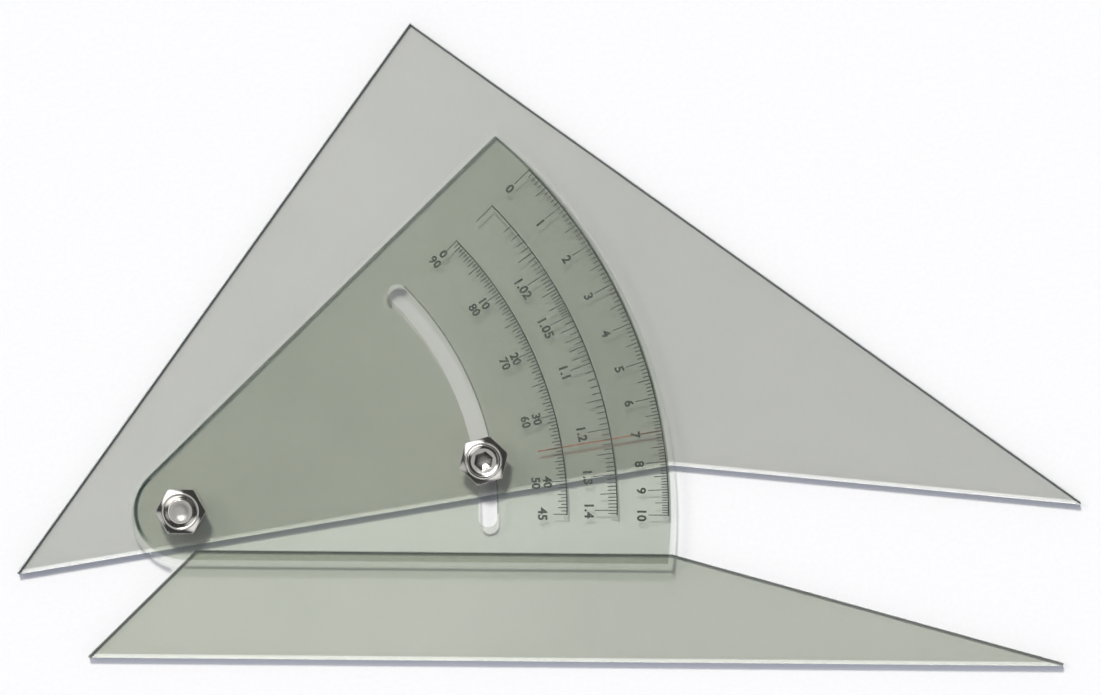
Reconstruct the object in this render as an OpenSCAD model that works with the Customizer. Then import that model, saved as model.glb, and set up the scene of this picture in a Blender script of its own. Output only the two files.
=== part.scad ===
// Adjustable set square. The pivot's axis is the Z axis, the instrument lies on Z = 0, and the base arm's
// ruling edge runs along X. The moving arm is drawn closed, then swung open about the pivot.

/* [Pose] */
// Opening of the moving arm, in degrees
arm_open = 10; // [0:1:45]

/* [Sheet] */
// Thickness of the acrylic sheet of all three plates
sheet_t = 3; // [2.5:0.5:5]
// Running gap between the protractor and the plates under it
glide_gap = 0.1; // [0.08:0.02:0.2]
// Height left at the two arms' sharp left tips, so that they are blunt
tip_h = 0.5; // [0.2:0.1:1]
// Height left at the two arms' sharp right tips
far_tip_h = 0.8; // [0.4:0.1:3]

/* [Base arm] */
// Width of the base arm, from its top edge to its ruling edge
base_w = 27.1; // [22:0.1:40]
// Distance along X from the pivot to the kink in the top edge
kink_x = 122; // [110:0.5:130]
// Fall of the edge beyond the kink, in degrees
kink_fall = 15; // [10:0.5:15.5]

/* [Moving arm] */
// Distance from the pivot down to the moving arm's lower edge
arm_drop = 8.8; // [7:0.1:10]
// Gap between the arms when they are closed
closed_gap = 0.9; // [0.3:0.1:2]
// Gap between the moving arm and the base arm's left end at 45 degrees
open_gap = 0.5; // [0.3:0.1:1]
// Distance from the pivot square to the short leg
short_leg_off = 24.6; // [18:0.1:32]
// Distance from the pivot square to the long leg
long_leg_off = 132.1; // [126:0.1:150]

/* [Protractor] */
// Outer radius of the protractor
fan_r = 123; // [112:0.5:128]
// Width of the strip where the protractor is bonded to the base arm
seat_w = 3.4; // [2:0.1:8]
// Radius of the slot's centre line
slot_r = 76.3; // [60:0.1:80]
// Width of the slot
slot_w = 4.6; // [4.4:0.1:6]

/* [Scales] */
// Thickness of the printed ink
ink_t = 0.04; // [0.02:0.01:0.05]
// Width of a graduation line
tick_w = 0.2; // [0.1:0.05:0.4]
// Width of the arc that the graduation lines hang from
rule_w = 0.3; // [0.1:0.05:0.5]
// Distance from the protractor's edge in to the rise scale
rise_inset = 1.7; // [1:0.1:3]
// Distance from the protractor's edge in to the slope scale
slope_inset = 14.5; // [12:0.5:18]
// Distance from the protractor's edge in to the degree scale
degree_inset = 27; // [24:0.5:30]
// Width of the index line in the moving arm
index_w = 0.4; // [0.2:0.1:0.8]
// Depth of the groove that holds the index line's ink
index_depth = 0.3; // [0.1:0.1:0.6]
// How far the index line starts inside the degree scale's arc
index_lead = 6; // [2:0.5:10]
// Lengths of the degree lines at tens, fives, whole degrees and half degrees
degree_lines = [4.4, 3.4, 2.2, 1.5]; // [1:0.1:6]
// Lengths of the slope lines that are numbered, that are longer, and of the others
slope_lines = [5.6, 4.2, 2.2]; // [1:0.1:6]
// Lengths of the rise lines at wholes, halves and tenths
rise_lines = [5, 3.3, 1.6]; // [1:0.1:6]

/* [Pivot] */
// Diameter of the pivot screw
pivot_d = 6; // [4:0.5:6.5]
// Diameter of the pivot screw's low head
pivot_head_d = 10.6; // [9:0.1:12]
// Thickness of the pivot screw's low head
pivot_head_t = 1.2; // [0.8:0.1:1.4]
// Height of the domed end above the nut
dome_h = 1; // [0.5:0.1:1.5]
// Size of both hexagons across their flats
hex_af = 11; // [10:0.5:13]
// Height of the pivot nut
nut_h = 4; // [3:0.5:6]
// Radial running clearance of the screws in their holes
run_fit = 0.05; // [0.02:0.01:0.1]

/* [Clamp] */
// Diameter of the clamp screw's thread
clamp_d = 4; // [3:0.1:4.1]
// Diameter of the clamp screw's head
clamp_head_d = 9.2; // [8:0.1:10]
// Height of the clamp screw's head
clamp_head_h = 3.6; // [3:0.1:6]
// Radius of the rounded rim of the head
head_round = 1.4; // [0.5:0.1:1.5]
// Size of the hexagon socket across its flats
socket_af = 4; // [2.5:0.5:4]
// Depth of the hexagon socket
socket_depth = 2.2; // [1.5:0.1:2.8]
// Height of the hexagon collar under the head
collar_h = 2.6; // [1.5:0.1:5]
// Outer diameter of the threaded insert
insert_d = 7; // [6:0.1:8]
// Diameter of the insert's flange
insert_flange_d = 10.4; // [9:0.1:11]
// Thickness of the insert's flange
insert_flange_t = 1; // [0.6:0.1:1.5]
// Height of the clamp screw's tip above the underside
tip_gap = 0.4; // [0.2:0.1:1]

/* [Hidden] */
$fn = 64;

span = 45;            // what the protractor measures, in degrees
slack = 1;            // how far a cutting body runs past the face that it cuts
seat_gap = 0.02;      // clearance of a part that is seated on, or pressed into, another
round_spare = 0.01;   // how far a round end stands out of the sides it joins, so that they cross cleanly
slot_spare = 0.8;     // travel in the slot past each end of the scale, in degrees
hex_turn = 0;         // turn of the pivot nut
collar_turn = 7.5;    // turn of the collar on the moving arm
socket_turn = 70;     // turn of the head's socket
nut_flat = 0.84;      // share of the hexagon's width that its chamfer leaves flat
chamfer_fall = 30;    // slope of a hexagon's chamfer, in degrees
sink_w = 0.6;         // width of the countersink in the pivot nut's thread
spanner_d = 1.2;      // the two blind holes that hold the pivot screw while its nut turns
spanner_r = 3;
spanner_depth = 0.6;
fill_step = 1;        // largest step of a printed arc, in degrees

base_top = -(arm_drop + closed_gap);
ruling_y = base_top - base_w;
base_end_off = arm_drop + open_gap;
base_reach = kink_x + (base_w - far_tip_h) / tan(kink_fall);
arm_bottom = -arm_drop;
arm_kink_x = kink_x + closed_gap * tan(kink_fall / 2);
short_leg_sum = short_leg_off * sqrt(2);    // what y - x is along the closed arm's short leg
long_leg_sum = long_leg_off * sqrt(2);      // what x + y is along its long leg
arm_reach = (long_leg_sum + arm_drop - arm_kink_x * tan(kink_fall) - far_tip_h) / (1 - tan(kink_fall));
fan_margin = arm_drop + closed_gap + seat_w;
fan_z = sheet_t + glide_gap;
fan_top = fan_z + sheet_t;
rise_r = fan_r - rise_inset;
slope_r = fan_r - slope_inset;
degree_r = fan_r - degree_inset;
index_start = degree_r - index_lead;
index_end = rise_r + rule_w / 2;
nut_z = fan_top + seat_gap;
nut_top = nut_z + nut_h;
collar_z = fan_top + seat_gap;
head_z = collar_z + collar_h + run_fit;
clamp_x = slot_r;

function polar(r, a) = [r * cos(a), r * sin(a)];
function fall_y(x, from_x, from_y) = from_y - tan(kink_fall) * (x - from_x);

// ---- plates -------------------------------------------------------------------------------------------

// Outline of the base arm. Its left end slopes at 45 degrees, base_end_off from the pivot, down to a blunt tip.
function base_outline() =
    let (end = base_end_off * sqrt(2))
    [
        [ruling_y + tip_h + end, ruling_y],
        [base_reach, ruling_y],
        [base_reach, fall_y(base_reach, kink_x, base_top)],
        [kink_x, base_top],
        [base_top + end, base_top],
        [ruling_y + tip_h + end, ruling_y + tip_h]
    ];

// Outline of the moving arm when closed. Its two legs meet in a right angle, and its left tip is blunt.
function arm_outline() =
    [
        [arm_bottom + tip_h - short_leg_sum, arm_bottom],
        [arm_kink_x, arm_bottom],
        [arm_reach, fall_y(arm_reach, arm_kink_x, arm_bottom)],
        [arm_reach, long_leg_sum - arm_reach],
        [(long_leg_sum - short_leg_sum) / 2, (long_leg_sum + short_leg_sum) / 2],
        [arm_bottom + tip_h - short_leg_sum, arm_bottom + tip_h]
    ];

module swung() {
    rotate([0, 0, arm_open])
        children();
}

module base_arm() {
    color([0.70, 0.74, 0.68, 0.6])
        linear_extrude(sheet_t)
            polygon(base_outline());
}

module moving_arm() {
    color([0.70, 0.74, 0.68, 0.6])
        swung()
            difference() {
                linear_extrude(sheet_t)
                    polygon(arm_outline());
                translate([0, 0, -slack])
                    cylinder(d = pivot_d + 2 * run_fit, h = sheet_t + 2 * slack);
                translate([0, 0, -slack])
                    cylinder(d = pivot_head_d + 4 * run_fit, h = pivot_head_t + run_fit + slack);
                translate([clamp_x, 0, -slack])
                    cylinder(d = insert_d + 2 * seat_gap, h = sheet_t + 2 * slack);
                translate([clamp_x, 0, -slack])
                    cylinder(d = insert_flange_d + 2 * seat_gap, h = insert_flange_t + seat_gap + slack);
                translate([index_start, -index_w / 2, sheet_t - index_depth])
                    cube([index_end - index_start, index_w, index_depth + slack]);
            }
}

// Outline of the fan: a round end at the pivot, and two straight sides that run out to the arc
module fan_outline() {
    far = 2 * fan_r;
    side = polar(fan_margin, span + 90);
    circle(r = fan_margin + round_spare);
    intersection() {
        circle(r = fan_r, $fn = 256);
        polygon([
            [0, 0],
            [0, -fan_margin],
            [far, -fan_margin],
            polar(far, span / 2),
            side + polar(far, span),
            side
        ]);
    }
}

module slot_cutter() {
    reach = span + 2 * slot_spare;
    rotate([0, 0, -slot_spare])
        rotate_extrude(angle = reach, $fn = 128)
            translate([slot_r - slot_w / 2, -slack])
                square([slot_w, sheet_t + 2 * slack]);
    for (a = [-slot_spare, span + slot_spare])
        rotate([0, 0, a])
            translate([slot_r, 0, -slack])
                cylinder(d = slot_w + 2 * round_spare, h = sheet_t + 2 * slack);
}

module protractor_sector() {
    color([0.66, 0.71, 0.63, 0.6])
        translate([0, 0, fan_z])
            difference() {
                linear_extrude(sheet_t)
                    fan_outline();
                translate([0, 0, -slack])
                    cylinder(d = pivot_d + 2 * run_fit, h = sheet_t + 2 * slack);
                slot_cutter();
            }
}

// ---- printed scales -----------------------------------------------------------------------------------

// A graduation is a list of [angle, length] in rising angle. It is drawn as one comb: the arc, with a tooth
// for each line. A length of 0 only carries the arc on.
function half_angle(w, r) = w / 2 / r * 180 / PI;
function arc_fill(r, a, b) =
    let (n = ceil((b - a) / fill_step))
    [for (k = 1; k < n; k = k + 1) polar(r, a + (b - a) * k / n)];
function rim(marks, r) = [
    for (i = [0:len(marks) - 1])
        each concat(
            [polar(r, marks[i][0])],
            i < len(marks) - 1 ? arc_fill(r, marks[i][0], marks[i + 1][0]) : []
        )
];
function tooth(mark, r, foot) =
    let (tip = r - mark[1], h_foot = half_angle(tick_w, foot), h_tip = half_angle(tick_w, tip))
    mark[1] == 0 ? [polar(foot, mark[0])] : [
        polar(foot, mark[0] + h_foot),
        polar(tip, mark[0] + h_tip),
        polar(tip, mark[0] - h_tip),
        polar(foot, mark[0] - h_foot)
    ];
function teeth(marks, r, foot) = [
    for (i = [len(marks) - 1:-1:0])
        each concat(
            tooth(marks[i], r, foot),
            i > 0 ? arc_back(foot, marks[i - 1][0], marks[i][0]) : []
        )
];
function arc_back(r, a, b) =
    let (n = ceil((b - a) / fill_step))
    [for (k = n - 1; k > 0; k = k - 1) polar(r, a + (b - a) * k / n)];

// The arc ends half a line past its first and last marks, so that those marks are as wide as the others
function closed_marks(marks, r) =
    let (h = half_angle(2 * tick_w, r))
    concat([[min(0, marks[0][0]) - h, 0]], marks, [[span + h, 0]]);

module comb(marks, r) {
    all = closed_marks(marks, r);
    outer = r + rule_w / 2;
    foot = r - rule_w / 2;
    translate([0, 0, fan_z - ink_t])
        linear_extrude(ink_t)
            polygon(concat(rim(all, outer), teeth(all, r, foot)));
}

// Degrees: a line each half degree, longer at whole, five and ten degrees. The scale counts from 45 down.
function degree_len(half) = degree_lines[half % 20 == 0 ? 0 : half % 10 == 0 ? 1 : half % 2 == 0 ? 2 : 3];
function degree_marks() = [for (i = [90:-1:0]) [span - i / 2, degree_len(i)]];

// Rise in ten of run: the angle is that whose tangent is the value over ten
function rise_len(tenth) = rise_lines[tenth % 10 == 0 ? 0 : tenth % 5 == 0 ? 1 : 2];
function rise_marks() = [for (i = [100:-1:0]) [span - atan(i / 100), rise_len(i)]];

// Slope length of one of run: the angle is that whose cosine is one over the value, in thousandths
function slope_steps() = concat(
    [for (v = [1410:-10:1110]) v],
    [for (v = [1100:-5:1055]) v],
    [for (v = [1050:-2:1000]) v]
);
function slope_named(v) = v % 100 == 0 || v == 1050 || v == 1020;
function slope_longer(v) = v > 1100 ? v % 50 == 0 : v % 10 == 0;
function slope_len(v) = slope_lines[slope_named(v) ? 0 : slope_longer(v) ? 1 : 2];
function slope_marks() = [for (v = slope_steps()) [span - acos(1000 / v), slope_len(v)]];

module degree_scale() {
    color([0.20, 0.24, 0.22])
        comb(degree_marks(), degree_r);
}

module slope_scale() {
    color([0.20, 0.24, 0.22])
        comb(slope_marks(), slope_r);
}

module rise_scale() {
    color([0.20, 0.24, 0.22])
        comb(rise_marks(), rise_r);
}

module index_line() {
    color([0.62, 0.30, 0.22])
        swung()
            translate([index_start, -index_w / 2, sheet_t - index_depth])
                cube([index_end - index_start, index_w, index_depth]);
}

// ---- pivot and clamp ----------------------------------------------------------------------------------

// Hexagon prism whose upper corners are turned off by a cone
module chamfered_hex(height) {
    corner_r = hex_af / sqrt(3);
    flat_r = hex_af / 2 * nut_flat;
    cone_h = (corner_r + slack - flat_r) * tan(chamfer_fall);
    intersection() {
        cylinder(r = corner_r, h = height, $fn = 6);
        union() {
            translate([0, 0, -slack])
                cylinder(r = corner_r + slack, h = height - cone_h + slack);
            translate([0, 0, height - cone_h])
                cylinder(r1 = corner_r + slack, r2 = flat_r, h = cone_h);
        }
    }
}

module pivot_screw() {
    end_r = pivot_d / 2;
    dome_r = (end_r * end_r + dome_h * dome_h) / (2 * dome_h);
    color([0.80, 0.81, 0.82])
        difference() {
            union() {
                cylinder(d = pivot_head_d, h = pivot_head_t);
                cylinder(r = end_r, h = nut_top);
                intersection() {
                    translate([0, 0, nut_top + dome_h - dome_r])
                        sphere(r = dome_r);
                    cylinder(r = end_r, h = nut_top + 2 * dome_h);
                }
            }
            for (side = [-1, 1])
                translate([0, side * spanner_r, -slack])
                    cylinder(d = spanner_d, h = spanner_depth + slack);
        }
}

module pivot_nut() {
    bore_r = pivot_d / 2 + run_fit;
    color([0.80, 0.81, 0.82])
        translate([0, 0, nut_z])
            rotate([0, 0, hex_turn])
                difference() {
                    chamfered_hex(nut_h);
                    translate([0, 0, -slack])
                        cylinder(r = bore_r, h = nut_h + 2 * slack);
                    translate([0, 0, nut_h - sink_w])
                        cylinder(r1 = bore_r, r2 = bore_r + 2 * sink_w, h = 2 * sink_w);
                }
}

module at_clamp(z) {
    swung()
        translate([clamp_x, 0, z])
            children();
}

module clamp_screw() {
    rim_r = clamp_head_d / 2;
    color([0.80, 0.81, 0.82])
        at_clamp(0)
            difference() {
                union() {
                    translate([0, 0, tip_gap])
                        cylinder(d = clamp_d, h = head_z - tip_gap);
                    translate([0, 0, head_z])
                        rotate_extrude() {
                            square([rim_r - head_round, clamp_head_h]);
                            square([rim_r, clamp_head_h - head_round]);
                            intersection() {
                                translate([rim_r - head_round, clamp_head_h - head_round])
                                    circle(r = head_round);
                                square([rim_r, clamp_head_h]);
                            }
                        }
                }
                translate([0, 0, head_z + clamp_head_h - socket_depth])
                    rotate([0, 0, socket_turn])
                        cylinder(r = socket_af / sqrt(3), h = socket_depth + slack, $fn = 6);
            }
}

module clamp_collar() {
    color([0.80, 0.81, 0.82])
        at_clamp(collar_z)
            difference() {
                rotate([0, 0, collar_turn])
                    chamfered_hex(collar_h);
                translate([0, 0, -slack])
                    cylinder(d = clamp_d + 2 * run_fit, h = collar_h + 2 * slack);
            }
}

module clamp_insert() {
    color([0.76, 0.66, 0.40])
        at_clamp(0)
            difference() {
                union() {
                    cylinder(d = insert_d, h = sheet_t);
                    cylinder(d = insert_flange_d, h = insert_flange_t);
                }
                translate([0, 0, -slack])
                    cylinder(d = clamp_d + 2 * run_fit, h = sheet_t + 2 * slack);
            }
}

base_arm();
moving_arm();
protractor_sector();
degree_scale();
slope_scale();
rise_scale();
index_line();
pivot_screw();
pivot_nut();
clamp_screw();
clamp_collar();
clamp_insert();
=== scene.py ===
# %% [markdown]
# # An adjustable set square in clear acrylic
# Two ruling blades share one pivot. A slotted protractor is bonded over the lower blade, and a clamp that
# runs in its slot holds the upper blade at any angle from 0 to 45 degrees.
#
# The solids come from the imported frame. This script dresses them: camera and light first, then the clear
# sheet, then the printing, and last the turned metal parts.

# %% Tools and the frame
import math

import bmesh
import bpy
from mathutils import Matrix, Vector


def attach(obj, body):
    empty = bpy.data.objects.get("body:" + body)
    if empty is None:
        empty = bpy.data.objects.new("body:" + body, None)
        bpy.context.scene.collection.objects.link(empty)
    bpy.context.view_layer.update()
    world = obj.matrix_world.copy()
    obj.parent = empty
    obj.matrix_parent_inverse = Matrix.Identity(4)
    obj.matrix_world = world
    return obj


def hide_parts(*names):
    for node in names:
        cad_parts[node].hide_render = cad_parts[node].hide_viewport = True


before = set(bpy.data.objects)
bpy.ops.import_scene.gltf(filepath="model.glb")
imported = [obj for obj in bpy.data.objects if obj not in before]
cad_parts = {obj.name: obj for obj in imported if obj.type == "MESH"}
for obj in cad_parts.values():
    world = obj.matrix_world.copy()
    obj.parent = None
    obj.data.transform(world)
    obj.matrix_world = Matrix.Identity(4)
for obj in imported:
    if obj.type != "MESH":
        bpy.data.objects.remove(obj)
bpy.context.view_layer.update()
scene = bpy.context.scene
MM = 0.001

# %% [markdown]
# ## Sizes
# The sizes below repeat the driving dimensions of the solids, because the lines in the sheets, the numbers
# and the turned parts have to sit on them. They are in millimetres and degrees, and heights are counted from
# the table side of the arms.

# %% Sizes
SHEET_T, INK_T = 3.0, 0.04
GLIDE_GAP = 0.1                     # between the moving arm and the protractor over it
SPAN = 45.0                         # the protractor's angle
ARM_OPEN = 10.0                     # the moving arm's angle in the photograph
ARM_DROP = 8.8                      # from the pivot down to the moving arm's lower edge
CLOSED_GAP = 0.9                    # between the two arms when they are closed
KINK_X, KINK_FALL = 122.0, 15.0     # where that lower edge bends, and by how much
SHORT_LEG, LONG_LEG = 24.6, 132.1   # from the pivot out to the moving arm's two upper edges
BASE_W, SEAT_W = 27.1, 3.4          # the base arm, and the seat on it where the protractor is bonded
FAN_R = 123.0                       # the protractor's arc
SLOT_R, SLOT_W, SLOT_SPARE = 76.3, 4.6, 0.8
SLOT_END = SPAN + SLOT_SPARE
FAN_Z = SHEET_T + GLIDE_GAP
FAN_TOP = FAN_Z + SHEET_T
FAN_MARGIN = ARM_DROP + CLOSED_GAP + SEAT_W


def polar(radius, degrees):
    angle = math.radians(degrees)
    return Vector((radius * math.cos(angle), radius * math.sin(angle), 0))


def leaning(azimuth, tilt):
    """The direction that leans from upright by tilt, towards azimuth."""
    direction = polar(math.sin(math.radians(tilt)), azimuth)
    direction.z = math.cos(math.radians(tilt))
    return direction


print("protractor from", FAN_Z, "to", FAN_TOP, "mm high")
print("its straight edge", round(FAN_MARGIN, 1), "mm below the pivot")

# %% [markdown]
# ## Camera
# The photograph was taken from straight above, so the picture is nearly a plan. Four pixels are one
# millimetre, the base blade is turned half a degree from the picture's lower edge, and a long lens keeps
# the sheets' own thickness from showing. A lens from further away would give the same picture.

# %% Camera
PHOTO_W = 1101
PIXELS_PER_MM = 4.0
CAMERA_X, CAMERA_Y, CAMERA_Z = 91.52, 41.55, 1400.0
TURN = 0.5
SENSOR = 36.0

lens = bpy.data.cameras.new("camera")
lens.sensor_width = SENSOR
lens.lens = SENSOR * CAMERA_Z * PIXELS_PER_MM / PHOTO_W
lens.clip_end = 20
camera = bpy.data.objects.new("camera", lens)
camera.location = Vector((CAMERA_X, CAMERA_Y, CAMERA_Z)) * MM
camera.rotation_euler = (0, 0, math.radians(TURN))
scene.collection.objects.link(camera)
scene.camera = camera
print("lens", round(lens.lens), "mm")

# %% [markdown]
# ## Light
# The clear sheet is only seen by what it does to light: a grey tint, bright and dark lines along its edges,
# and the shadow of every printed line. One lamp from the top of the page, about 29 degrees from upright,
# throws those lines. A weaker and softer lamp from the left gives the clamp its soft shadow. A dim bluish
# sky fills in.

# %% Light
# the azimuth and tilt that each lamp shines from, its strength, its width in degrees, and its colour
LAMPS = {
    "key_lamp": (105, 29, 2.45, 7.5, (1.0, 0.985, 0.955)),
    "side_lamp": (155, 35, 0.60, 24, (1.0, 0.99, 0.97)),
}
scene.view_settings.view_transform = "Standard"
for name, (azimuth, tilt, energy, spread, colour) in LAMPS.items():
    sun = bpy.data.lights.new(name, "SUN")
    sun.energy = energy
    sun.angle = math.radians(spread)
    sun.color = colour
    holder = bpy.data.objects.new(name, sun)
    holder.rotation_euler = leaning(azimuth, tilt).to_track_quat("Z", "Y").to_euler()
    scene.collection.objects.link(holder)
    print(name, "from", azimuth, "degrees, leaning", tilt)

# %% [markdown]
# ## How shader nodes are written here
# `add` makes a node and fills its inputs, by a value or by another node's output. `calc` is one sum, `blend`
# mixes two colours, and `ramp` is a soft step. A mask is a value from 0 to 1: `times` is where all masks
# hold, `most` where any does, and `without` is the rest. An effect that several materials use is a node
# group. It gives masks and values only, and the shader itself stays in each material.

# %% Nodes and sums


def add(tree, kind, sockets=None, **settings):
    node = tree.nodes.new("ShaderNode" + kind)
    for name, value in settings.items():
        setattr(node, name, value)
    for name, value in (sockets or {}).items():
        if isinstance(value, bpy.types.NodeSocket):
            tree.links.new(value, node.inputs[name])
        else:
            node.inputs[name].default_value = value
    return node


def calc(tree, operation, a, b=0.0):
    return add(tree, "Math", {0: a, 1: b}, operation=operation).outputs[0]


def blend(tree, factor, a, b):
    """A colour mix: sockets 6 and 7 are the two colours, and output 2 is the result."""
    return add(tree, "Mix", {0: factor, 6: a, 7: b}, data_type="RGBA").outputs[2]


def ramp(tree, value, low, high, to_low=0.0, to_high=1.0):
    """A soft step from to_low, where value is at low, to to_high, where it is at high."""
    sockets = {0: value, 1: low, 2: high, 3: to_low, 4: to_high}
    return add(tree, "MapRange", sockets, interpolation_type="SMOOTHSTEP").outputs[0]


def rgb(red, green, blue):
    return (red, green, blue, 1)


# %% Masks


def times(tree, first, *more):
    """The product of masks: true where all are."""
    for mask in more:
        first = calc(tree, "MULTIPLY", first, mask)
    return first


def most(tree, first, *more):
    """The largest of masks: true where any is."""
    for mask in more:
        first = calc(tree, "MAXIMUM", first, mask)
    return first


def without(tree, mask):
    return calc(tree, "SUBTRACT", 1.0, mask)


# %% Places on a piece


def place(tree):
    """Where a point is on its own piece, which for these pieces is its place in the frame, in metres."""
    return add(tree, "TexCoord").outputs["Object"]


def axes(tree, vector):
    return add(tree, "SeparateXYZ", {0: vector}).outputs


def along(tree, vector, direction):
    """How far a vector reaches in a direction."""
    return add(tree, "VectorMath", {0: vector, 1: direction}, operation="DOT_PRODUCT").outputs["Value"]


def over(tree, value, limit):
    return calc(tree, "GREATER_THAN", value, limit * MM)


def under(tree, value, limit):
    return calc(tree, "LESS_THAN", value, limit * MM)


def fade(tree, value, low, high, to_low=0.0, to_high=1.0):
    """A ramp whose two ends are in millimetres."""
    return ramp(tree, value, low * MM, high * MM, to_low, to_high)


# %% Groups and materials


def new_group(name, inputs, outputs):
    """A shader node group, what goes into it and what comes out of it."""
    tree = bpy.data.node_groups.new(name, "ShaderNodeTree")
    for socket, kind, default in inputs:
        made = tree.interface.new_socket(socket, in_out="INPUT", socket_type="NodeSocket" + kind)
        made.default_value = default
    for socket in outputs:
        tree.interface.new_socket(socket, in_out="OUTPUT", socket_type="NodeSocketFloat")
    return tree, tree.nodes.new("NodeGroupInput").outputs, tree.nodes.new("NodeGroupOutput").inputs


def use(tree, group, sockets):
    return add(tree, "Group", sockets, node_tree=group).outputs


def new_material(name):
    """A material with nothing in it but the socket that its surface goes into."""
    material = bpy.data.materials.new(name)
    material.use_nodes = True
    tree = material.node_tree
    tree.nodes.clear()
    return material, tree, tree.nodes.new("ShaderNodeOutputMaterial").inputs["Surface"]


# %% [markdown]
# ## The sky and the white room
# Rays that go to the lens, and rays that leave a mirror or pass through glass, see a white room of strength
# one. Only rays that light a surface see the dim sky.

# %% Sky
SKY_COLOUR, SKY_STRENGTH = rgb(0.82, 0.87, 1.0), 0.22

world = bpy.data.worlds.new("room")
scene.world = world
world.use_nodes = True
sky = world.node_tree
sky.nodes.clear()
rays = add(sky, "LightPath").outputs
seen = most(sky, rays["Is Camera Ray"], rays["Is Glossy Ray"], rays["Is Transmission Ray"])
fill = add(sky, "Background", {"Color": SKY_COLOUR, "Strength": SKY_STRENGTH})
room = add(sky, "Background", {"Color": rgb(1, 1, 1), "Strength": 1.0})
both = add(sky, "MixShader", {0: seen, 1: fill.outputs[0], 2: room.outputs[0]})
add(sky, "OutputWorld", {"Surface": both.outputs[0]})
print("sky of strength", SKY_STRENGTH)

# %% [markdown]
# ## The sheet of paper that it lies on
# Plain white paper, with a faint fibre that makes its white uneven. It takes the shadows.

# %% Paper
PAPER_GAP = 0.3     # below the part, in millimetres
PAPER_SIZE = 6      # in metres, so that no view sees its end
FIBRES_PER_M = 900.0

paper, tree, surface = new_material("white_paper")
fibre = add(tree, "TexNoise", {"Vector": place(tree), "Scale": FIBRES_PER_M, "Detail": 3.0}).outputs["Fac"]
white = blend(tree, ramp(tree, fibre, 0.3, 0.7), rgb(0.955, 0.955, 0.965), rgb(0.975, 0.975, 0.985))
tree.links.new(add(tree, "BsdfDiffuse", {"Color": white}).outputs[0], surface)
bpy.ops.mesh.primitive_plane_add(size=PAPER_SIZE, location=(CAMERA_X * MM, CAMERA_Y * MM, -PAPER_GAP * MM))
floor = bpy.context.object
floor.name = "paper"
floor.data.materials.append(paper)
print("paper", PAPER_SIZE, "m wide")

# %% [markdown]
# ## The tent that the metal mirrors
# Bright nickel shows its surroundings and nothing else. Small metal is photographed in a tent: dim cloth
# overhead, bright panels at the upper left and the lower right, and a pale band along the table. The tent
# is a half sphere that only mirror rays see. Its cloth is lit by direction, with soft borders, so its size
# doesn't matter.

# %% Tent cloth
DARK_CLOTH, OVERHEAD_CLOTH, TABLE_BAND = 0.05, 0.46, 0.45
OVERHEAD_LEVELS, TABLE_LEVELS = (0.80, 0.97), (0.10, 0.30)     # of a half sphere of radius one
# each panel's azimuth and tilt, the angles from its middle where it starts and ends to fade, its strength
PANELS = ((128, 52, 14, 34, 1.9), (-50, 55, 8, 26, 0.9), (200, 66, 6, 20, 0.5))


def panel(tree, direction, azimuth, tilt, inner, outer):
    """A soft round patch. The middle of a panel is where direction agrees with its own."""
    near = along(tree, direction, leaning(azimuth, tilt))
    return ramp(tree, near, math.cos(math.radians(outer)), math.cos(math.radians(inner)))


def tent_cloth():
    material, tree, surface = new_material("tent_cloth")
    direction = add(tree, "VectorMath", {0: place(tree)}, operation="NORMALIZE").outputs[0]
    level = axes(tree, direction)["Z"]
    overhead = ramp(tree, level, *OVERHEAD_LEVELS, 0.0, OVERHEAD_CLOTH - DARK_CLOTH)
    glow = calc(tree, "ADD", DARK_CLOTH, overhead)
    glow = calc(tree, "ADD", glow, ramp(tree, level, *TABLE_LEVELS, TABLE_BAND, 0.0))
    for azimuth, tilt, inner, outer, strength in PANELS:
        patch = panel(tree, direction, azimuth, tilt, inner, outer)
        glow = calc(tree, "ADD", glow, calc(tree, "MULTIPLY", patch, strength))
    cloth = add(tree, "Emission", {"Color": rgb(1.0, 0.985, 0.96), "Strength": glow})
    tree.links.new(cloth.outputs[0], surface)
    return material


# %% Tent
TENT_RADIUS = 2.4   # in metres


def new_object(name, shape, material=None):
    """Turn an edit mesh into an object whose place is in its mesh."""
    mesh = bpy.data.meshes.new(name)
    shape.to_mesh(mesh)
    shape.free()
    if material:
        mesh.materials.append(material)
    made = bpy.data.objects.new(name, mesh)
    scene.collection.objects.link(made)
    return made


dome = bmesh.new()
bmesh.ops.create_uvsphere(dome, u_segments=48, v_segments=24, radius=TENT_RADIUS)
bmesh.ops.delete(dome, geom=[v for v in dome.verts if v.co.z < -1e-4], context="VERTS")
tent = new_object("tent", dome, tent_cloth())
tent.visible_camera = tent.visible_diffuse = tent.visible_shadow = tent.visible_transmission = False
print("tent with", len(PANELS), "panels")

# %% [markdown]
# ## Clear acrylic
# The sheet is a glass shader for everything that looks at it. Lamps can't be traced through a glass shader,
# so shadow rays, and the rays that carry light from the paper, see a tinted window instead. What real sheet
# does to a slanting light at its edges is drawn in that window:
#
# - light that meets a wall facing the lamp never comes out below, so a dark line lies just inside it
# - light that meets a wall facing away is thrown back, so a bright line lies just inside it, and a dark
#   band lies on the paper beyond it
#
# Most walls stop light by themselves. The other lines need to know how deep a point lies inside an edge,
# which `edge_depth` gives for a straight edge and `round_depth` for a round one. `strip` is a soft-edged
# band between two depths. All three are node groups, because every sheet uses them, and the functions of
# the same names give them millimetres and degrees.

# %% Edge groups


def make_edge_depth():
    sockets = [("Place", "Vector", (0, 0, 0)), ("Facing", "Vector", (1, 0, 0)), ("Edge", "Float", 0.0)]
    tree, given, result = new_group("edge_depth", sockets, ["Depth"])
    reach = along(tree, given["Place"], given["Facing"])
    tree.links.new(calc(tree, "SUBTRACT", given["Edge"], reach), result["Depth"])
    return tree


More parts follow.
